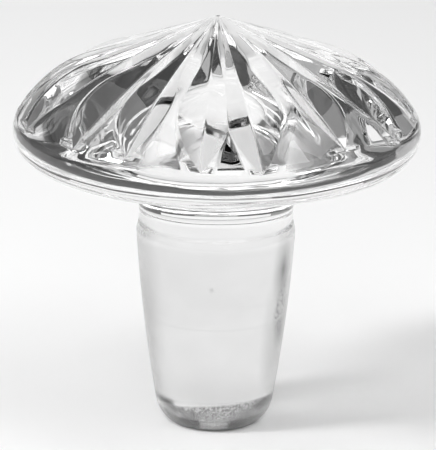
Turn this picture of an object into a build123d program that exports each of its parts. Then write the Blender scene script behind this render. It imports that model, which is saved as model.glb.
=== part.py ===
from build123d import *
import os
from math import asin, cos, degrees, radians, sin, tan

# Mushroom stopper of solid clear glass for a decanter: a domed head with
# wheel-cut mitres that meet at its point, a short polished neck, and a ground
# shank that tapers like a cork. It is one piece of glass.
# Millimetres. +Z up, origin at the middle of the flat end that it stands on.

# Shank: ground taper with a slight barrel, rounded bevel, flat end
end_radius = 6.4
bevel_height = 3.0
shank_low_radius = 8.3
shank_top_radius = 11.2
shank_top_height = 28.1
shank_barrel = 0.35

# Neck: polished, a little slimmer than the top of the shank
shoulder_step = 0.3
shoulder_rise = 1.3
shoulder_blend = 2.0
neck_length = 5.76
neck_blend = 5.6

# Head: the rim's nose turns over into the crown and under into a cone that rises
# from the neck
head_radius = 28.5
rim_nose = 4.2
underside_angle = 13.5
crown_arc = 20.3
crown_edge_angle = 55.8
crown_slope = 19.2

# Mitres: wide V grooves cut on one wheel, from the peak of the crown to its edge.
# The floor of each is bowed up a little from the straight line between its ends.
cut_count = 16
cut_angle = 128.0
cut_sink = 0.05
floor_bow = 1.1
wheel_lead = 3.0

# Bearings of the cuts that face the front, in degrees from -Y and growing
# towards +X. The cutter spaced them by eye. The rest share the turn evenly.
front_bearings = (-70.2, -44.3, -26.5, -4.3, 12.5, 39.3, 61.5)


def cut_bearings():
    """Bearings of all the cuts, the front ones first."""
    hidden = cut_count - len(front_bearings)
    step = (360.0 - front_bearings[-1] + front_bearings[0]) / (hidden + 1)
    return list(front_bearings) + [front_bearings[-1] + step * (i + 1) for i in range(hidden)]


# The section runs from the flat end up the shank and the neck, out under the head,
# round the rim's nose and over the crown to its peak
shank_foot = (shank_low_radius, bevel_height)
shank_head = (shank_top_radius, shank_top_height)
neck_radius = shank_top_radius - shoulder_step
neck_foot = (neck_radius, shank_top_height + shoulder_rise)
neck_head = (neck_radius, shank_top_height + shoulder_rise + neck_length)
nose_inset = rim_nose * (1 - sin(radians(underside_angle)))
underside_length = (head_radius - nose_inset - neck_radius) / cos(radians(underside_angle))

with BuildSketch(Plane.XZ) as section:
    with BuildLine():
        Line((0, 0), (end_radius, 0))
        taper = SagittaArc(shank_foot, shank_head, -shank_barrel)
        TangentArc(shank_foot, (end_radius, 0), tangent=taper % 0 * -1)
        Line(shank_head, neck_foot)
        Line(neck_foot, neck_head)
        underside = PolarLine(neck_head, underside_length, underside_angle)
        lower_nose = JernArc(underside @ 1, underside % 1, rim_nose, 90 - underside_angle)
        upper_nose = JernArc(lower_nose @ 1, (0, 1), rim_nose, 90 - crown_edge_angle)
        crown = JernArc(upper_nose @ 1, upper_nose % 1, crown_arc, crown_edge_angle - crown_slope)
        crown_top = crown @ 1
        peak = Vector(0, crown_top.Y + crown_top.X * tan(radians(crown_slope)))
        Line(crown_top, peak)
        Line(peak, (0, 0))
    make_face()
    neck_corner = section.vertices().sort_by_distance(neck_head)[0]
    fillet(neck_corner, radius=neck_blend)
    shoulder = section.vertices().sort_by_distance(shank_head)[0]
    fillet(shoulder, radius=shoulder_blend)

# The floor of a mitre is an arc in radius and height, from just under the peak to the
# edge of the crown. Its centre is far below. The wheel comes in a lead before the
# floor starts and leaves a lead after it ends.
floor_start = Vector(0, peak.Y - cut_sink)
floor_line = upper_nose @ 1 - floor_start
floor_radius = floor_line.length ** 2 / (8 * floor_bow) + floor_bow / 2
half_swing = asin(floor_line.length / 2 / floor_radius) + wheel_lead / floor_radius
floor_up = Vector(-floor_line.Y, floor_line.X).normalized()
floor_centre = floor_start + floor_line / 2 - floor_up * (floor_radius - floor_bow)
swing_start = floor_centre + floor_up.rotate(Axis.Z, degrees(half_swing)) * floor_radius
swing_heading = floor_line.normalized().rotate(Axis.Z, degrees(half_swing))
wheel_depth = crown_top.Y - (upper_nose @ 1).Y
half_width = wheel_depth * tan(radians(cut_angle / 2))

# What the V edge of the wheel takes away in one mitre that faces -Y
with BuildPart() as mitre:
    wheel_plane = Plane(
        (0, -swing_start.X, swing_start.Y),
        x_dir=(1, 0, 0),
        z_dir=(0, -swing_heading.X, swing_heading.Y),
    )
    with BuildSketch(wheel_plane):
        with BuildLine():
            Polyline((0, 0), (half_width, wheel_depth), (-half_width, wheel_depth), close=True)
        make_face()
    swing = Axis((0, -floor_centre.X, floor_centre.Y), (1, 0, 0))
    revolve(axis=swing, revolution_arc=degrees(2 * half_swing))

with BuildPart() as stopper:
    revolve(section.sketch, axis=Axis.Z)
    for bearing in cut_bearings():
        with Locations(Location((0, 0, 0), (0, 0, bearing))):
            add(mitre.part, mode=Mode.SUBTRACT)

stopper.part.label = "stopper"
os.makedirs("parts", exist_ok=True)
export_step(stopper.part, "parts/stopper.step")
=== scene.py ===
from functools import partial
from math import atan2, cos, hypot, pi, radians, sin, tan

import bpy
import numpy as np
from mathutils import Matrix, Vector


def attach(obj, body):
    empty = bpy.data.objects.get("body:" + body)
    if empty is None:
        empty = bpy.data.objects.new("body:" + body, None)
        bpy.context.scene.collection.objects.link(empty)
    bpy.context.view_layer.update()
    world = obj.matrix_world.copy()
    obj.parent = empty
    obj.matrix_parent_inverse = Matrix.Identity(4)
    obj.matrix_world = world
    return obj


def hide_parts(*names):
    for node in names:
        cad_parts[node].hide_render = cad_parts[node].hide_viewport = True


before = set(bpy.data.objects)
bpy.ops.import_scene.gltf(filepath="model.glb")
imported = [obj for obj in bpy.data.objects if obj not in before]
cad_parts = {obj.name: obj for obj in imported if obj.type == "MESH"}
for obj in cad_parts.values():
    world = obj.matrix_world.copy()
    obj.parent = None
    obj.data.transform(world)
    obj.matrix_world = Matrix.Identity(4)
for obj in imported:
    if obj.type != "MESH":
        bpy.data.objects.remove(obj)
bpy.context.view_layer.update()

MM = 0.001

# Sizes of the glass in millimetres and degrees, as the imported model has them
END_RADIUS = 6.4
BEVEL_HEIGHT = 3.0
SHANK_LOW_RADIUS = 8.3
SHANK_TOP_RADIUS = 11.2
SHANK_TOP_HEIGHT = 28.1
SHANK_BARREL = 0.35
SHOULDER_STEP = 0.3
SHOULDER_RISE = 1.3
SHOULDER_BLEND = 2.0
NECK_LENGTH = 5.76
NECK_BLEND = 5.6
HEAD_RADIUS = 28.5
RIM_NOSE = 4.2
UNDERSIDE_ANGLE = 13.5
CROWN_ARC = 20.3
CROWN_EDGE_ANGLE = 55.8
CROWN_SLOPE = 19.2

# The cuts, also as packed: their number, the angle of the V, how far a floor starts
# under the peak and is bowed up from straight, and the bearings of the front cuts,
# in degrees from -Y towards +X
CUT_COUNT = 16
CUT_ANGLE = 128.0
CUT_SINK = 0.05
FLOOR_BOW = 1.1
FRONT_BEARINGS = (-70.2, -44.3, -26.5, -4.3, 12.5, 39.3, 61.5)

# What the hand left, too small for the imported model: how much further out than the
# edge of the crown each front cut ends, the softness of the flat end's edge and of
# the floors and lips of the cuts, and the height and length of the polishing waves
FRONT_REACH = (0.03, -0.09, -0.12, 0.29, 0.44, -0.53, -0.03)
END_SOFTNESS = 0.25
WHEEL_SOFTNESS = 0.05
EDGE_SOFTNESS = 0.14
WAVE_HEIGHT = 0.14
WAVE_LENGTH = 8.0

# Nearer to the axis than this the floors and lips get sharper, so that the cuts
# still meet in a point
SHARP_RADIUS = 5.0

# The waves fade in over this height above the shank, which was ground true
WAVE_START = 3.0

# Kinds of node that are used often
MATH = "ShaderNodeMath"
VECTOR_MATH = "ShaderNodeVectorMath"
NOISE = "ShaderNodeTexNoise"
RANGE = "ShaderNodeMapRange"
MIX = "ShaderNodeMix"

# Places of a Mix node's sockets, which share their names
SHARE = 0
FIRST_NUMBER, SECOND_NUMBER = 2, 3
FIRST_COLOUR, SECOND_COLOUR = 6, 7
MIXED_COLOUR = 2


def linear(hex_colour):
    """A colour written as sRGB hex, as Blender's linear red, green, blue and 1."""
    parts = [int(hex_colour[i:i + 2], 16) / 255 for i in (1, 3, 5)]
    return [p / 12.92 if p <= 0.04045 else ((p + 0.055) / 1.055) ** 2.4 for p in parts] + [1.0]


def add(tree, kind, inputs=(), **settings):
    """Adds a node to a tree, with its settings and inputs, and gives it back. The
    inputs come in order, or by name or place. Each is a value, an output of another
    node, or another node, which stands for its first output."""
    node = tree.nodes.new(kind)
    for name, value in settings.items():
        setattr(node, name, value)
    for place, value in inputs.items() if isinstance(inputs, dict) else enumerate(inputs):
        if isinstance(value, bpy.types.Node):
            value = value.outputs[0]
        if isinstance(value, bpy.types.NodeSocket):
            tree.links.new(value, node.inputs[place])
        else:
            node.inputs[place].default_value = value
    return node


# Outline of the glass: points of radius, height and heading. The heading is the
# direction of travel from the flat end, out and up to the peak of the crown, so
# the air is always on the right.


def run(path, length, steps):
    """Goes straight on from the end of a path."""
    r, z, heading = path[-1]
    for i in range(1, steps + 1):
        part = length * i / steps
        path.append((r + part * cos(heading), z + part * sin(heading), heading))


def bend(path, radius, turn, steps):
    """Goes on along an arc, to the left where the turn is positive."""
    r, z, heading = path[-1]
    side = 1 if turn > 0 else -1
    centre_r = r - side * radius * sin(heading)
    centre_z = z + side * radius * cos(heading)
    for i in range(1, steps + 1):
        h = heading + turn * i / steps
        path.append((centre_r + side * radius * sin(h), centre_z - side * radius * cos(h), h))


def outline():
    """The outline from the flat end to the rim, and from the rim to the peak."""
    # The shank's taper is a shallow arc over its chord, and the bevel is the arc
    # that meets it without a corner
    chord = hypot(SHANK_TOP_RADIUS - SHANK_LOW_RADIUS, SHANK_TOP_HEIGHT - BEVEL_HEIGHT)
    chord_heading = atan2(SHANK_TOP_HEIGHT - BEVEL_HEIGHT, SHANK_TOP_RADIUS - SHANK_LOW_RADIUS)
    taper_radius = chord * chord / (8 * SHANK_BARREL) + SHANK_BARREL / 2
    taper_half = np.arcsin(chord / 2 / taper_radius)
    bevel_chord = hypot(SHANK_LOW_RADIUS - END_RADIUS, BEVEL_HEIGHT)
    bevel_heading = atan2(BEVEL_HEIGHT, SHANK_LOW_RADIUS - END_RADIUS)
    bevel_half = chord_heading - taper_half - bevel_heading
    bevel_radius = bevel_chord / 2 / sin(bevel_half)

    neck_radius = SHANK_TOP_RADIUS - SHOULDER_STEP
    neck_heading = atan2(SHOULDER_RISE, -SHOULDER_STEP)
    shoulder_turn = neck_heading - (chord_heading + taper_half)
    shoulder_cut = SHOULDER_BLEND * tan(shoulder_turn / 2)
    nose_inset = RIM_NOSE * (1 - sin(radians(UNDERSIDE_ANGLE)))
    underside_length = (HEAD_RADIUS - nose_inset - neck_radius) / cos(radians(UNDERSIDE_ANGLE))
    blend_turn = radians(90 - UNDERSIDE_ANGLE)
    blend_cut = NECK_BLEND * tan(blend_turn / 2)

    # The soft edge of the flat end takes the first bit of the bevel's arc
    end_turn = bevel_heading - bevel_half
    end_cut = END_SOFTNESS * tan(end_turn / 2)
    skipped = [(END_RADIUS, 0.0, end_turn)]
    bend(skipped, bevel_radius, end_cut / bevel_radius, steps=1)

    low = [(0.0, 0.0, 0.0)]
    run(low, END_RADIUS - end_cut, steps=6)
    bend(low, END_SOFTNESS, end_turn, steps=5)
    low[-1] = skipped[-1]
    bend(low, bevel_radius, 2 * bevel_half - end_cut / bevel_radius, steps=10)
    bend(low, taper_radius, 2 * taper_half - shoulder_cut / taper_radius, steps=16)
    bend(low, SHOULDER_BLEND, shoulder_turn, steps=6)
    run(low, hypot(SHOULDER_STEP, SHOULDER_RISE) - shoulder_cut, steps=3)
    low.append((neck_radius, SHANK_TOP_HEIGHT + SHOULDER_RISE, pi / 2))
    run(low, NECK_LENGTH - blend_cut, steps=2)
    bend(low, NECK_BLEND, -blend_turn, steps=16)
    run(low, underside_length - blend_cut, steps=16)
    bend(low, RIM_NOSE, blend_turn, steps=18)

    high = [low[-1]]
    bend(high, RIM_NOSE, pi / 2 - radians(CROWN_EDGE_ANGLE), steps=60)
    bend(high, CROWN_ARC, radians(CROWN_EDGE_ANGLE - CROWN_SLOPE), steps=200)
    run(high, high[-1][0] / cos(radians(CROWN_SLOPE)), steps=60)
    return low, high


PEAK = outline()[1][-1][1]


def cut_bearings():
    """Bearings of all the cuts, in radians, the front ones first. The others share
    the rest of the turn evenly."""
    hidden = CUT_COUNT - len(FRONT_BEARINGS)
    step = (360.0 - FRONT_BEARINGS[-1] + FRONT_BEARINGS[0]) / (hidden + 1)
    rest = [FRONT_BEARINGS[-1] + step * (i + 1) for i in range(hidden)]
    return np.radians(list(FRONT_BEARINGS) + rest)


# Mesh of the uncut glass: rings round the axis, whose columns run along the floors
# and the lips of the cuts, so that the edges come out crisp. The cells are counted
# across one flank of a cut and across one land between cuts, and the rings down the
# cuts and from their ends to the rim.
FLANK_CELLS = 10
LAND_CELLS = 4
CROWN_RINGS = 96
EDGE_RINGS = 14

# How much of the rings' spacing down the cuts is even. The rest crowds the rings
# towards both ends.
EVEN_SHARE = 0.4

# Least width of a flank or a land, in millimetres and as a share of the way between
# two cuts
LEAST_WIDTH = 0.1
LEAST_SHARE = 1 / 8

# Points that the ends of the cuts are looked up among, and halvings in a search for
# a lip
CROWN_SAMPLES = 4000
HALVINGS = 40


def along(path, distance):
    """Radius and height at distances along a path, measured from its start."""
    points = np.array(path)[:, :2]
    lengths = np.concatenate([[0.0], np.cumsum(np.hypot(*np.diff(points, axis=0).T))])
    return np.interp(distance, lengths, points[:, 0]), np.interp(distance, lengths, points[:, 1])


def root(f, low, high):
    """Where a rising function of an array passes zero between two bounds."""
    low, high = np.broadcast_to(low, high.shape).copy(), high.copy()
    for _ in range(HALVINGS):
        middle = (low + high) / 2
        above = f(middle) > 0
        high = np.where(above, middle, high)
        low = np.where(above, low, middle)
    return (low + high) / 2


def ends_of_cuts(crown):
    """Distance down the crown, radius and height of the outer end of each cut, and
    the length of the whole crown."""
    total = np.hypot(*np.diff(np.array(crown)[:, :2], axis=0).T).sum()
    edge_radius = HEAD_RADIUS - RIM_NOSE * (1 - sin(radians(CROWN_EDGE_ANGLE)))
    reach = np.array(list(FRONT_REACH) + [0.0] * (CUT_COUNT - len(FRONT_REACH)))
    distances = np.linspace(0, total, CROWN_SAMPLES)
    radii, _ = along(crown, distances)
    end = np.interp(edge_radius + reach, radii, distances)
    return end, *along(crown, end), total


def flank_height(radius, angle, slope, length):
    """Height of a cut's flank at an angle from the cut's own bearing."""
    rise = 1 / (tan(radians(CUT_ANGLE / 2)) * np.cos(np.arctan(slope)))
    out = radius * np.cos(angle)
    part = np.clip(out / length, 0, None)
    bow = 4 * FLOOR_BOW * part * (1 - part) / np.cos(np.arctan(slope))
    return PEAK - CUT_SINK - slope * out + bow + rise * radius * np.sin(angle)


def blank():
    """The uncut glass as a mesh, in metres, and the cuts as points that carry their
    bearing, slope and length."""
    low, high = outline()
    crown = high[::-1]
    end, end_radius, end_height, total = ends_of_cuts(crown)
    slopes = (PEAK - CUT_SINK - end_height) / end_radius
    bearings = cut_bearings()
    cells = 2 * FLANK_CELLS + LAND_CELLS
    t = np.arange(1, CROWN_RINGS + 1) / CROWN_RINGS
    down = EVEN_SHARE * t + (1 - EVEN_SHARE) * (1 - np.cos(pi * t)) / 2
    past = np.arange(1, EDGE_RINGS + 1) / EDGE_RINGS
    opening = past ** 2 * (3 - 2 * past)
    flank = (1 - np.cos(pi * np.arange(FLANK_CELLS + 1) / FLANK_CELLS)) / 2

    rings_r, rings_z, rings_a = [], [], []
    for k in range(CUT_COUNT):
        # Angles from this cut's floor to the next one's, ring by ring: up this
        # flank to its lip, over the land, and down the next cut's flank
        n = (k + 1) % CUT_COUNT
        width = (bearings[n] - bearings[k]) % (2 * pi)
        lips = []
        for this, other in ((k, n), (n, k)):
            r, z = along(crown, down * end[this])
            full = np.full_like(r, width)
            here, there = (slopes[this], end_radius[this]), (slopes[other], end_radius[other])
            lip = root(lambda a: flank_height(r, a, *here) - z, 0.0, full)
            meet = root(lambda a: flank_height(r, a, *here)
                        - flank_height(r, width - a, *there), 0.0, full)
            least = np.minimum(LEAST_WIDTH / r, width * LEAST_SHARE)
            lip = np.clip(np.minimum(lip, meet - least / 2), least, None)
            spread = least[-1] + (width * FLANK_CELLS / cells - least[-1]) * opening
            lips.append(np.concatenate([lip, spread]))
        first, last = lips[0][:, None], width - lips[1][:, None]
        land = first + (last - first) * np.arange(1, LAND_CELLS) / LAND_CELLS
        angles = np.hstack([first * flank, land, width - (width - last) * flank[:0:-1]])

        # Distances down the crown, so that both cuts end on one ring
        share = angles / width
        reach = end[k] * (1 - share) + end[n] * share
        row_down = down[:, None] * reach[:CROWN_RINGS]
        row_past = past[:, None] * (total - reach[CROWN_RINGS:])
        r, z = along(crown, np.vstack([row_down, reach[CROWN_RINGS:] + row_past]))
        rings_r.append(r)
        rings_z.append(z)
        rings_a.append(bearings[k] + angles)

    r, z, a = np.hstack(rings_r), np.hstack(rings_z), np.hstack(rings_a)
    below = np.array(low[1:-1])[::-1]
    r = np.vstack([r, np.repeat(below[:, :1], r.shape[1], 1)])
    z = np.vstack([z, np.repeat(below[:, 1:2], r.shape[1], 1)])
    a = np.vstack([a, np.repeat(a[-1:], len(below), 0)])
    points = np.stack([r * np.sin(a), -r * np.cos(a), z], -1).reshape(-1, 3)
    points = np.vstack([points, [[0, 0, PEAK], [0, 0, 0]]]) * MM

    rows, columns = r.shape
    i, j = np.meshgrid(np.arange(rows - 1), np.arange(columns), indexing="ij")
    right = (j + 1) % columns
    corners = [i * columns + j, (i + 1) * columns + j, (i + 1) * columns + right,
               i * columns + right]
    quads = np.stack(corners, -1).reshape(-1, 4)
    around = np.arange(columns)
    beside = (around + 1) % columns
    last_row = (rows - 1) * columns
    top, bottom = rows * columns, rows * columns + 1
    caps = [(top, int(u), int(v)) for u, v in zip(around, beside)]
    caps += [(bottom, last_row + int(v), last_row + int(u)) for u, v in zip(around, beside)]
    mesh = bpy.data.meshes.new("blank")
    mesh.from_pydata(points.tolist(), [], quads.tolist() + caps)
    mesh.update()

    cuts = bpy.data.meshes.new("cuts")
    cuts.from_pydata([(0, 0, 0)] * CUT_COUNT, [], [])
    for name, values in (("bearing", bearings), ("slope", slopes), ("length", end_radius * MM)):
        attribute = cuts.attributes.new(name, "FLOAT", "POINT")
        attribute.data.foreach_set("value", values.astype(np.float32))
    return mesh, cuts


# Inputs of the cutting tree and the kind of each. The sizes are in metres.
CUTTING_INPUTS = {
    "Geometry": "Geometry",
    "Cuts": "Object",
    "Floor Top": "Float",
    "Floor Bow": "Float",
    "Flank Rise": "Float",
    "Wheel Softness": "Float",
    "Edge Softness": "Float",
    "Wave Height": "Float",
    "Wave Length": "Float",
    "End Height": "Float",
    "Material": "Material",
    "End Material": "Material",
}


def cutting_tree():
    """Geometry Nodes that lower the crown to the V of each cut in turn, and give
    the head and the neck the faint waves of hand polishing."""
    tree = bpy.data.node_groups.new("mitre_cutting", "GeometryNodeTree")
    for name, kind in CUTTING_INPUTS.items():
        tree.interface.new_socket(name, in_out="INPUT", socket_type="NodeSocket" + kind)
    tree.interface.new_socket("Geometry", in_out="OUTPUT", socket_type="NodeSocketGeometry")
    node = partial(add, tree)
    given = node("NodeGroupInput").outputs

    # One turn of the loop for each cut, whose values are read from its point
    cuts = node("GeometryNodeObjectInfo", {"Object": given["Cuts"]}).outputs["Geometry"]
    count = node("GeometryNodeAttributeDomainSize", {"Geometry": cuts}, component="MESH")
    start = node("GeometryNodeRepeatInput")
    stop = node("GeometryNodeRepeatOutput")
    start.pair_with_output(stop)
    tree.links.new(given["Geometry"], start.inputs["Geometry"])
    tree.links.new(count.outputs["Point Count"], start.inputs["Iterations"])
    bearing, slope, length = (
        node("GeometryNodeSampleIndex", {
            "Geometry": cuts,
            "Value": node("GeometryNodeInputNamedAttribute", {"Name": name}, data_type="FLOAT"),
            "Index": start.outputs["Iteration"],
        }, data_type="FLOAT", domain="POINT")
        for name in ("bearing", "slope", "length"))

    # Where a point lies: how far out along the cut, how far aside from its floor,
    # and how far from the axis
    position = node("GeometryNodeInputPosition")
    x, y, z = node("ShaderNodeSeparateXYZ", (position,)).outputs
    sine = node(MATH, (bearing,), operation="SINE")
    cosine = node(MATH, (bearing,), operation="COSINE")
    x_out = node(MATH, (x, sine), operation="MULTIPLY")
    y_out = node(MATH, (y, cosine), operation="MULTIPLY")
    out = node(MATH, (x_out, y_out), operation="SUBTRACT")
    x_aside = node(MATH, (x, cosine), operation="MULTIPLY")
    y_aside = node(MATH, (y, sine), operation="MULTIPLY")
    aside = node(MATH, (x_aside, y_aside), operation="ADD")
    x_squared = node(MATH, (x, x), operation="MULTIPLY")
    y_squared = node(MATH, (y, y), operation="MULTIPLY")
    squares = node(MATH, (x_squared, y_squared), operation="ADD")
    radius = node(MATH, (squares,), operation="SQRT")

    # The wheel's edge is a little blunt, but sharp near the axis
    from_axis = node(MATH, (radius, SHARP_RADIUS * MM), operation="DIVIDE")
    near = node(MATH, (from_axis, 1.0), operation="MINIMUM")
    blunt = node(MATH, (given["Wheel Softness"], near), operation="MULTIPLY")
    aside_squared = node(MATH, (aside, aside), operation="MULTIPLY")
    blunt_squared = node(MATH, (blunt, blunt), operation="MULTIPLY")
    both_squared = node(MATH, (aside_squared, blunt_squared), operation="ADD")
    across = node(MATH, (both_squared,), operation="SQRT")

    # The floor falls from the peak, bowed up from straight. The bow is four times the
    # part gone times the part left, which comes to 1 half way along.
    tilt = node(MATH, (slope,), operation="ARCTANGENT")
    level = node(MATH, (tilt,), operation="COSINE")
    of_length = node(MATH, (out, length), operation="DIVIDE")
    part = node(MATH, (of_length, 0.0), operation="MAXIMUM")
    part_left = node(MATH, (1.0, part), operation="SUBTRACT")
    hump = node(MATH, (part, part_left), operation="MULTIPLY")
    bowed = node(MATH, (hump, 4.0), operation="MULTIPLY")
    bow_height = node(MATH, (given["Floor Bow"], level), operation="DIVIDE")
    raised = node(MATH, (bowed, bow_height), operation="MULTIPLY")
    fall = node(MATH, (out, slope), operation="MULTIPLY")
    straight = node(MATH, (given["Floor Top"], fall), operation="SUBTRACT")
    floor_height = node(MATH, (straight, raised), operation="ADD")

    # The flanks rise from the floor, and a point above them comes down to them
    steep = node(MATH, (given["Flank Rise"], level), operation="DIVIDE")
    off_floor = node(MATH, (across, blunt), operation="SUBTRACT")
    rise = node(MATH, (off_floor, steep), operation="MULTIPLY")
    flank_at = node(MATH, (floor_height, rise), operation="ADD")
    lip = node(MATH, (given["Edge Softness"], near), operation="MULTIPLY")
    lowered = node(MATH, (z, flank_at, lip), operation="SMOOTH_MIN")
    cut_place = node("ShaderNodeCombineXYZ", (x, y, lowered))
    cut = node("GeometryNodeSetPosition",
               {"Geometry": start.outputs["Geometry"], "Position": cut_place})
    tree.links.new(cut.outputs[0], stop.inputs["Geometry"])

    # The waves go inwards only, so the glass stays inside its packed size
    bigness = node(MATH, (1.0, given["Wave Length"]), operation="DIVIDE")
    wave = node(NOISE, {"Vector": position, "Scale": bigness, "Detail": 1.0, "Roughness": 0.4},
                noise_dimensions="3D", normalize=True)
    over_shank = node(MATH, (z, SHANK_TOP_HEIGHT * MM), operation="SUBTRACT")
    started = node(MATH, (over_shank, WAVE_START * MM), operation="DIVIDE")
    not_under = node(MATH, (started, 0.0), operation="MAXIMUM")
    faded = node(MATH, (not_under, 1.0), operation="MINIMUM")
    faded_wave = node(MATH, (wave, faded), operation="MULTIPLY")
    depth = node(MATH, (faded_wave, given["Wave Height"]), operation="MULTIPLY")
    inward = node(MATH, (depth, -1.0), operation="MULTIPLY")
    facing = node("GeometryNodeInputNormal")
    offset = node(VECTOR_MATH, {0: facing, "Scale": inward}, operation="SCALE")
    waved = node("GeometryNodeSetPosition",
                 {"Geometry": stop.outputs["Geometry"], "Offset": offset})

    smooth = node("GeometryNodeSetShadeSmooth", {"Geometry": waved})
    real = node("GeometryNodeRealizeInstances", {"Geometry": smooth})
    finished = node("GeometryNodeSetMaterial", {"Geometry": real, "Material": given["Material"]})
    at_end = node("FunctionNodeCompare", (z, given["End Height"]), operation="LESS_THAN")
    ended = node("GeometryNodeSetMaterial", {
        "Geometry": finished, "Selection": at_end, "Material": given["End Material"]})
    node("NodeGroupOutput", {"Geometry": ended})
    return tree


def cut_glass(material, end_material):
    """The finished stopper: the blank with its mitres cut, as a plain mesh."""
    blank_mesh, cuts_mesh = blank()
    body = bpy.data.objects.new("blank", blank_mesh)
    cuts = bpy.data.objects.new("cuts", cuts_mesh)
    for helper in (body, cuts):
        bpy.context.scene.collection.objects.link(helper)
    tree = cutting_tree()
    modifier = body.modifiers.new("mitre_cutting", "NODES")
    modifier.node_group = tree
    inputs = {
        "Cuts": cuts,
        "Floor Top": (PEAK - CUT_SINK) * MM,
        "Floor Bow": FLOOR_BOW * MM,
        "Flank Rise": 1 / tan(radians(CUT_ANGLE / 2)),
        "Wheel Softness": WHEEL_SOFTNESS * MM,
        "Edge Softness": EDGE_SOFTNESS * MM,
        "Wave Height": WAVE_HEIGHT * MM,
        "Wave Length": WAVE_LENGTH * MM,
        "End Height": END_EDGE * MM,
        "Material": material,
        "End Material": end_material,
    }
    for item in tree.interface.items_tree:
        if item.in_out == "INPUT" and item.name in inputs:
            modifier[item.identifier] = inputs[item.name]
    bpy.context.view_layer.update()
    evaluated = body.evaluated_get(bpy.context.evaluated_depsgraph_get())
    mesh = bpy.data.meshes.new_from_object(evaluated)
    body.modifiers.clear()
    bpy.data.objects.remove(body)
    bpy.data.objects.remove(cuts)
    piece = bpy.data.objects.new("stopper_glass", mesh)
    bpy.context.scene.collection.objects.link(piece)
    return piece


# Where each finish of the glass begins, in millimetres up from the flat end. The
# shank was ground with grit, by hand, so the top edge of its frost wanders: by how
# much, and over what length. Round the foot the frost carries a dark, grainy band
# of painted shade with a slanted top line, and a band in it is left clear and smoother.
FROST_TOP = 28.6
FROST_EDGE = 1.2
FROST_WANDER = 1.0
FROST_WAVE = 7.0
FOOT_TOP = 3.4
FOOT_EDGE = 0.4
FOOT_SLANT = (-0.08, 0.15, 1.0)
CLEAR_BAND = (0.7, 1.7)
CLEAR_BAND_EDGE = 0.25
END_EDGE = 0.08

# Grain of the grinding in millimetres: its width and its depth, fine on the shank
# and coarse on the foot and the end. The real grit of about 0.05 mm is too fine to
# show, so both are drawn coarser.
GRIT = 0.3
GRIT_DEPTH = 0.012
COARSE_GRIT = 0.33
COARSE_DEPTH = 0.05

# Width of the uneven places in the frost, in millimetres: how rough it is, and how
# grey it is
ROUGH_PLACES = 1.5
GREY_PLACES = 4.0

# Dark patches on the surface, some painted shade and some marks of wear: the
# middle and the reach of each patch, in millimetres, and how dark it is
WEAR_AND_PAINTED_SHADE = (
    # Down the right of the shank: a dark streak and a dark smudge, then a wide grey painted
    # shade
    ((9.4, -5.2, 23.8), (2.3, 3.1, 6.4), 1.0),
    ((9.5, -4.0, 14.2), (1.8, 2.4, 3.0), 0.8),
    ((9.0, -5.6, 12.0), (3.0, 5.0, 13.0), 0.6),
    # Down its left: a wide grey painted shade
    ((-9.8, -4.2, 17.0), (3.6, 6.0, 17.0), 0.45),
    # One speck on its front
    ((-0.5, -10.8, 22.4), (0.5, 0.5, 0.5), 0.35),
    # On the head: a chip and a rub
    ((9.95, -19.25, 50.87), (0.9, 0.9, 0.8), 1.0),
    ((11.0, -22.5, 48.1), (0.9, 1.8, 1.6), 0.45),
)

# A patch of specks on the right of the shank, and a scratch round it
SPECKLED_PATCH = ((9.4, -4.6, 17.6), (2.0, 2.4, 4.6))
SPECKLED_STRENGTH = 2.5
SCRATCH_HEIGHT = 16.2
SCRATCH_WIDTH = 0.2
SCRATCH_STRENGTH = 0.12

# Colours that the glass lets through where it is ground, where the foot carries
# painted shade, where it is specked and scratched, and under the dark patches of
# painted shade and wear, and last the greys of the end itself, darkened as painted shade
CLEAR = "#FFFFFF"
FROST_GREYS = ("#E4E4E4", "#F6F6F6")
FOOT_SHADE_GREYS = ("#4C4C4C", "#B8B8B8")
SPECK_GREY = "#505050"
SCRATCH_GREY = "#808080"
WEAR_AND_SHADE_GREY = "#303030"
END_GRAIN_AND_SHADE_GREYS = ("#8E8E8E", "#F2F2F2")

# Parts of the coarse grain's range over which the grain of the foot's painted shade or its
# specks come in
FOOT_SHADE_RANGE = (0.4, 0.62)
SPECK_RANGE = (0.5, 0.58)
END_RANGE = (0.35, 0.65)

# Optics: the refractive index of soda-lime glass, and the roughness of each finish
GLASS_IOR = 1.52
POLISHED = 0.0
FROSTED = 0.2
FROST_UNEVEN = 0.05
FOOT_GROUND = 0.15
CLEAR_BAND_ROUGHNESS = 0.06
END_GROUND = 0.5


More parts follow.
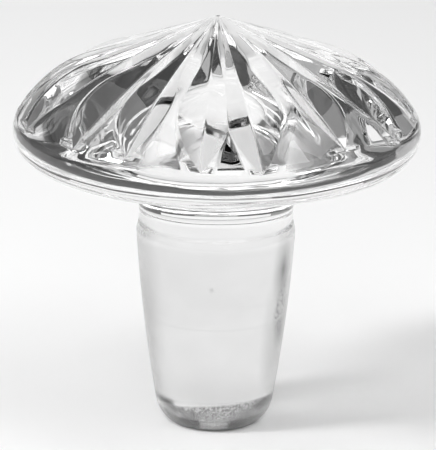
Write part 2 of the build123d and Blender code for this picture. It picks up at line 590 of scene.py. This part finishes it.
def polished_and_ground_glass():
    """Clear glass, cut and polished by hand and ground to fit. The head and the neck
    are polished, so they are clear and sharp. The shank is ground, a soft frost that
    blurs and greys what is behind it. Round the foot the frost carries painted shade,
    dark and grainy, with a clearer, smoother band left in it. Dark patches are painted
    shade down the sides of the shank, and a few marks of wear."""
    material = bpy.data.materials.new("polished_and_ground_glass")
    material.use_nodes = True
    tree = material.node_tree
    node = partial(add, tree)
    shader = tree.nodes["Principled BSDF"]
    shader.inputs["IOR"].default_value = GLASS_IOR
    shader.inputs["Transmission Weight"].default_value = 1.0
    where = node("ShaderNodeTexCoord").outputs["Object"]
    z = node("ShaderNodeSeparateXYZ", (where,)).outputs["Z"]
    frost_wave, rough_places, grey_places, grain, coarse_grain = (
        node(NOISE, {"Vector": where, "Scale": 1 / (size * MM), "Detail": detail,
                     "Roughness": roughness})
        for size, detail, roughness in (
            (FROST_WAVE, 2.0, 0.5), (ROUGH_PLACES, 2.0, 0.5), (GREY_PLACES, 2.0, 0.5),
            (GRIT, 3.0, 0.6), (COARSE_GRIT, 3.0, 0.7)))

    def patch(centre, reach):
        """1 at the middle of an oval patch of the surface, down to 0 at its edge."""
        centred = node("ShaderNodeMapping", {
            "Vector": where,
            "Location": [-c / r for c, r in zip(centre, reach)],
            "Scale": [1 / (r * MM) for r in reach]})
        far = node(VECTOR_MATH, (centred,), operation="LENGTH").outputs["Value"]
        return node(RANGE, {"Value": far, "From Min": 1.0, "From Max": 0.0})

    # How much each place is frosted, of the foot, outside the clear band, under the foot's
    # painted shade, scratched and specked
    off_middle = node(MATH, (frost_wave, 0.5), operation="SUBTRACT")
    wander = node(MATH, (off_middle, FROST_WANDER * MM), operation="MULTIPLY")
    height = node(MATH, (z, wander), operation="ADD")
    frost = node(RANGE, {"Value": height, "From Min": FROST_TOP * MM,
                         "From Max": (FROST_TOP - FROST_EDGE) * MM})
    slanted = node(VECTOR_MATH, (where, FOOT_SLANT), operation="DOT_PRODUCT").outputs["Value"]
    foot = node(RANGE, {"Value": slanted, "From Min": FOOT_TOP * MM,
                        "From Max": (FOOT_TOP - FOOT_EDGE) * MM})
    above_clear_band = node(RANGE, {"Value": z, "From Min": CLEAR_BAND[1] * MM,
                              "From Max": (CLEAR_BAND[1] + CLEAR_BAND_EDGE) * MM})
    below_clear_band = node(RANGE, {"Value": z, "From Min": CLEAR_BAND[0] * MM,
                              "From Max": (CLEAR_BAND[0] - CLEAR_BAND_EDGE) * MM})
    outside_clear_band = node(MATH, (above_clear_band, below_clear_band), operation="MAXIMUM")
    # The foot's painted shade: all of the foot except the clear band
    shaded_foot = node(MATH, (foot, outside_clear_band), operation="MULTIPLY")
    from_scratch = node(MATH, (z, SCRATCH_HEIGHT * MM), operation="SUBTRACT")
    off_scratch = node(MATH, (from_scratch,), operation="ABSOLUTE")
    scratch = node(RANGE, {"Value": off_scratch, "From Min": SCRATCH_WIDTH * MM,
                           "From Max": 0.0})
    scratched = node(MATH, (scratch, SCRATCH_STRENGTH), operation="MULTIPLY")
    speckled = patch(*SPECKLED_PATCH)
    dense = node(MATH, (speckled, SPECKLED_STRENGTH), operation="MULTIPLY")
    dots = node(RANGE, {"Value": coarse_grain, "From Min": SPECK_RANGE[0],
                        "From Max": SPECK_RANGE[1]})
    specks = node(MATH, (dense, dots), operation="MINIMUM")

    # Roughness
    frosted = node(MIX, {SHARE: rough_places, FIRST_NUMBER: FROSTED - FROST_UNEVEN,
                         SECOND_NUMBER: FROSTED + FROST_UNEVEN})
    above_foot = node(MIX, {SHARE: frost, FIRST_NUMBER: POLISHED, SECOND_NUMBER: frosted})
    on_foot = node(MIX, {SHARE: outside_clear_band, FIRST_NUMBER: CLEAR_BAND_ROUGHNESS, SECOND_NUMBER: FOOT_GROUND})
    rough = node(MIX, {SHARE: foot, FIRST_NUMBER: above_foot, SECOND_NUMBER: on_foot})
    tree.links.new(rough.outputs[0], shader.inputs["Roughness"])

    # Colour, one layer over another
    # The foot's painted shade is grainy, from dark to lighter grey
    foot_shade_dots = node(RANGE, {"Value": coarse_grain, "From Min": FOOT_SHADE_RANGE[0],
                              "From Max": FOOT_SHADE_RANGE[1]})
    frost_colour, foot_shade_colour = (
        node(MIX, {SHARE: share, FIRST_COLOUR: linear(darker), SECOND_COLOUR: linear(lighter)},
             data_type="RGBA").outputs[MIXED_COLOUR]
        for share, (darker, lighter) in ((grey_places, FROST_GREYS), (foot_shade_dots, FOOT_SHADE_GREYS)))
    layers = [(frost, frost_colour), (shaded_foot, foot_shade_colour), (specks, linear(SPECK_GREY)),
              (scratched, linear(SCRATCH_GREY))]
    # Painted shade down the sides of the shank, and marks of wear, each darkening the colour
    # towards one grey
    for middle, reach, darkness in WEAR_AND_PAINTED_SHADE:
        wear_and_shade = node(MATH, (patch(middle, reach), darkness), operation="MULTIPLY")
        layers.append((wear_and_shade, linear(WEAR_AND_SHADE_GREY)))
    colour = linear(CLEAR)
    for share, over in layers:
        colour = node(MIX, {SHARE: share, FIRST_COLOUR: colour, SECOND_COLOUR: over},
                      data_type="RGBA").outputs[MIXED_COLOUR]
    tree.links.new(colour, shader.inputs["Base Color"])

    # Relief of the grain
    fine_depth = node(MATH, (frost, GRIT_DEPTH), operation="MULTIPLY")
    fine = node(MATH, (grain, fine_depth), operation="MULTIPLY")
    coarse_places = node(MATH, (speckled, shaded_foot), operation="MAXIMUM")
    coarse_depth = node(MATH, (coarse_places, COARSE_DEPTH), operation="MULTIPLY")
    coarse = node(MATH, (coarse_grain, coarse_depth), operation="MULTIPLY")
    both = node(MATH, (fine, coarse), operation="ADD")
    relief = node("ShaderNodeBump", {"Height": both, "Distance": MM})
    tree.links.new(relief.outputs[0], shader.inputs["Normal"])
    return material


def coarse_ground_end():
    """The flat end, ground on coarse grit. It is dull and speckled grey, its greys
    darkened as painted shade, and the eye sees it only through the glass above."""
    material = bpy.data.materials.new("coarse_ground_end")
    material.use_nodes = True
    tree = material.node_tree
    node = partial(add, tree)
    shader = tree.nodes["Principled BSDF"]
    shader.inputs["IOR"].default_value = GLASS_IOR
    shader.inputs["Roughness"].default_value = END_GROUND
    where = node("ShaderNodeTexCoord").outputs["Object"]
    pits = node(NOISE, {"Vector": where, "Scale": 1 / (COARSE_GRIT * MM), "Detail": 3.0,
                        "Roughness": 0.7})
    # Light and dark grain of the ground end, its darker greys painted shade
    bare = node(RANGE, {"Value": pits, "From Min": END_RANGE[0], "From Max": END_RANGE[1]})
    shade = node(MIX, {SHARE: bare, FIRST_COLOUR: linear(END_GRAIN_AND_SHADE_GREYS[0]),
                       SECOND_COLOUR: linear(END_GRAIN_AND_SHADE_GREYS[1])}, data_type="RGBA")
    tree.links.new(shade.outputs[MIXED_COLOUR], shader.inputs["Base Color"])
    relief = node("ShaderNodeBump", {"Height": pits, "Distance": COARSE_DEPTH * MM})
    tree.links.new(relief.outputs[0], shader.inputs["Normal"])
    return material


glass = cut_glass(polished_and_ground_glass(), coarse_ground_end())
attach(glass, "root")
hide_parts("stopper")


# Camera, at the height and distance that the photograph's perspective gives: its
# place and what it looks at in millimetres, its roll in degrees, its focal length,
# sideways shift and picture height in pixels, and its sensor in millimetres
CAMERA_PLACE = (0, -500, 186)
CAMERA_TARGET = (0, 0, 28.48)
CAMERA_ROLL = 0.616
FOCAL_PIXELS = 3729
SHIFT_PIXELS = 2.1
PICTURE_HEIGHT = 450
SENSOR = 36

camera_data = bpy.data.cameras.new("camera")
camera = bpy.data.objects.new("camera", camera_data)
bpy.context.scene.collection.objects.link(camera)
bpy.context.scene.camera = camera
stand = Vector([c * MM for c in CAMERA_PLACE])
target = Vector([c * MM for c in CAMERA_TARGET])
sight = (target - stand).to_track_quat("-Z", "Y").to_matrix().to_4x4()
roll = Matrix.Rotation(radians(CAMERA_ROLL), 4, "Z")
camera.matrix_world = Matrix.Translation(stand) @ sight @ roll
camera_data.sensor_width = SENSOR
camera_data.lens = FOCAL_PIXELS * SENSOR / PICTURE_HEIGHT
camera_data.shift_x = SHIFT_PIXELS / PICTURE_HEIGHT
camera_data.clip_start = 0.01
camera_data.clip_end = 20

# World: a dim room, which the glass shows as its dark edges and flanks
ROOM_LIGHT = 0.06
world = bpy.data.worlds.new("studio")
bpy.context.scene.world = world
world.use_nodes = True
room = world.node_tree.nodes["Background"]
room.inputs["Color"].default_value = linear("#FFFFFF")
room.inputs["Strength"].default_value = ROOM_LIGHT

# Soft boxes round the glass, each a metre away and turned to it: bearing from the
# camera towards +X and elevation in degrees, width and height in metres, and
# strength, which times the watts below gives its light for each square metre. The
# first is small and strong, like a far window, and casts the shadow.
SOFT_BOXES = (
    (290, 40, 0.17, 0.17, 38.0),
    (240, 36.5, 0.43, 0.30, 0.4),
    (0, 36.5, 0.43, 0.30, 1.45),
    (60, 36.5, 0.43, 0.30, 0.85),
    (90, 36.5, 0.43, 0.30, 0.3),
    (45, 55, 0.475, 0.35, 2.4),
    (90, 55, 0.475, 0.35, 1.5),
    (225, 55, 0.475, 0.35, 0.3),
    (270, 55, 0.475, 0.35, 1.4),
    (315, 55, 0.475, 0.35, 2.5),
    (45, 77.5, 0.38, 0.38, 1.9),
    (225, 77.5, 0.38, 0.38, 0.95),
    (315, 77.5, 0.38, 0.38, 1.05),
    (22.5, 20, 0.37, 0.28, 0.5),
    (90, 20, 0.37, 0.28, 0.43),
    (180, 20, 0.37, 0.28, 0.25),
    (247.5, 20, 0.37, 0.28, 0.25),
    (292.5, 20, 0.37, 0.28, 0.3),
    (315, 6, 0.40, 0.21, 0.4),
    (180, 6, 1.3, 0.21, 0.7),
    (225, 6, 0.40, 0.21, 0.19),
)
BOX_WATTS = 4.0

for bearing, elevation, wide, tall, strength in SOFT_BOXES:
    lamp = bpy.data.lights.new("soft_box", "AREA")
    lamp.shape = "RECTANGLE"
    lamp.size, lamp.size_y = wide, tall
    lamp.energy = BOX_WATTS * strength * wide * tall
    box = bpy.data.objects.new("soft_box", lamp)
    bpy.context.scene.collection.objects.link(box)
    level, up = cos(radians(elevation)), sin(radians(elevation))
    aim = Vector((sin(radians(bearing)) * level, -cos(radians(bearing)) * level, up))
    box.matrix_world = Matrix.Translation(aim) @ aim.to_track_quat("Z", "Y").to_matrix().to_4x4()
    box.visible_camera = False

# Floor: a sheet of white paper, smooth and matt, that fades into a darker table. The
# fade runs between these distances from the stopper, in metres.
FLOOR_SIZE = 4
PAPER_FADE = (0.52, 0.80)
bpy.ops.mesh.primitive_plane_add(size=FLOOR_SIZE)
floor = bpy.context.object
floor.name = "floor"
paper = bpy.data.materials.new("paper")
paper.use_nodes = True
sheet = partial(add, paper.node_tree)
from_middle = sheet("ShaderNodeTexCoord").outputs["Object"]
distance = sheet(VECTOR_MATH, (from_middle,), operation="LENGTH").outputs["Value"]
fade = sheet(RANGE, {"Value": distance, "From Min": PAPER_FADE[0], "From Max": PAPER_FADE[1]},
             interpolation_type="SMOOTHSTEP")
white_to_grey = sheet(MIX, {SHARE: fade, FIRST_COLOUR: linear("#F6F6F6"),
                            SECOND_COLOUR: linear("#909090")}, data_type="RGBA")
surface = paper.node_tree.nodes["Principled BSDF"]
paper.node_tree.links.new(white_to_grey.outputs[MIXED_COLOUR], surface.inputs["Base Color"])
surface.inputs["Roughness"].default_value = 1.0
surface.inputs["Specular IOR Level"].default_value = 0.0
floor.data.materials.append(paper)

# Light bounces many times inside cut glass
cycles = bpy.context.scene.cycles
cycles.max_bounces = 32
cycles.transmission_bounces = 32
cycles.glossy_bounces = 16
bpy.context.scene.view_settings.view_transform = "Standard"
